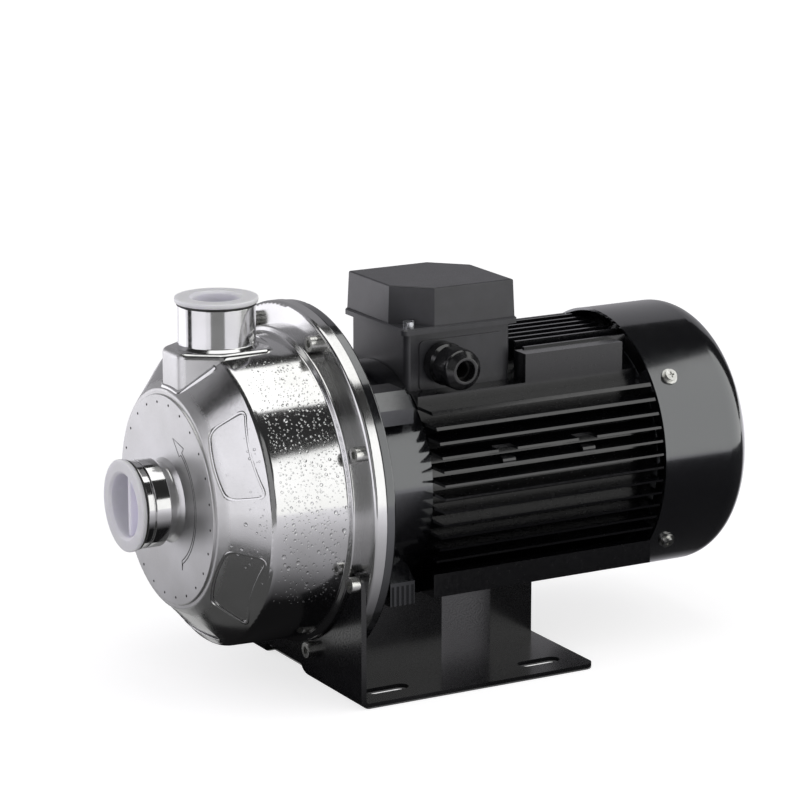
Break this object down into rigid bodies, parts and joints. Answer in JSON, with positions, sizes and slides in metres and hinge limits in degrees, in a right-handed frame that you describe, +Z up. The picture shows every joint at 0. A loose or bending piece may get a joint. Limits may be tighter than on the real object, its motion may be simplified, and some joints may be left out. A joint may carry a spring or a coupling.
{
  "type": "horizontal centrifugal pump",
  "caption": "Close-coupled horizontal centrifugal pump: pressed stainless casing with plugged ports, finned fan-cooled motor, terminal box and a slotted bent-steel foot.",
  "frame": {"origin": "underside of the foot, in the middle of its four fixing slots", "axes": "+X along the shaft from the suction port to the fan, +Z up, +Y across to the far side"},
  "size_m": [0.3576, 0.2, 0.2124],
  "materials": {
    "drawn_stainless": "satin, lightly drawn",
    "turned_stainless": "turned bright",
    "bright_screws": "bright",
    "shaft_steel": "ground",
    "zinc_steel": "zinc plated",
    "electrical_steel": "varnished sheets",
    "copper_winding": "enamelled wire",
    "white_ceramic": "polished ceramic",
    "black_rubber": "matte",
    "plug_plastic": "cloudy, soft sheen",
    "gloss_black_paint": "gloss",
    "foot_black_paint": "gloss",
    "cowl_black": "gloss",
    "fan_plastic": "matte",
    "box_plastic": "fine texture",
    "gland_plastic": "satin",
    "block_plastic": "matte"
  },
  "bodies": {
    "pump": {"pump_casing": "drawn_stainless", "suction_port": "turned_stainless", "discharge_port": "turned_stainless", "casing_back_cover": "drawn_stainless", "casing_o_ring": "black_rubber", "seal_seat": "white_ceramic", "adapter_flange": "gloss_black_paint", "adapter_screws": "zinc_steel", "casing_screws": "bright_screws", "wear_ring": "turned_stainless", "front_bearing": "shaft_steel", "rear_bearing": "shaft_steel", "front_end_shield": "gloss_black_paint", "motor_housing": "gloss_black_paint", "stator_core": "electrical_steel", "front_winding": "copper_winding", "rear_winding": "copper_winding", "rear_end_shield": "gloss_black_paint", "end_shield_screws": "zinc_steel", "fan_cover": "cowl_black", "fan_cover_screws": "bright_screws", "terminal_box_base": "box_plastic", "box_gasket": "black_rubber", "terminal_box_lid": "box_plastic", "lid_screws": "zinc_steel", "terminal_block": "block_plastic", "gland_body": "gland_plastic", "gland_seal": "black_rubber", "gland_nut": "gland_plastic", "foot_bracket": "foot_black_paint", "front_support": "foot_black_paint", "rear_support": "foot_black_paint", "support_bolts": "zinc_steel"},
    "rotor": {"motor_shaft": "shaft_steel", "impeller": "turned_stainless", "impeller_key": "shaft_steel", "impeller_washer": "bright_screws", "impeller_nut": "bright_screws", "seal_head": "black_rubber", "rotor_core": "electrical_steel", "fan": "fan_plastic"},
    "suction_plug": {"suction_plug": "plug_plastic", "suction_plug_gasket": "black_rubber"},
    "discharge_plug": {"discharge_plug": "plug_plastic", "discharge_plug_gasket": "black_rubber"}
  },
  "joints": [
    {"name": "rotor_spin", "type": "hinge", "parent": "pump", "child": "rotor", "pos_m": [-0.07, 0, 0.104], "axis": [1, 0, 0], "continuous": true},
    {"name": "suction_plug_pull", "type": "slide", "parent": "pump", "child": "suction_plug", "axis": [-1, 0, 0], "range_m": [0, 0.03]},
    {"name": "discharge_plug_pull", "type": "slide", "parent": "pump", "child": "discharge_plug", "axis": [0, 0, 1], "range_m": [0, 0.03]}
  ]
}
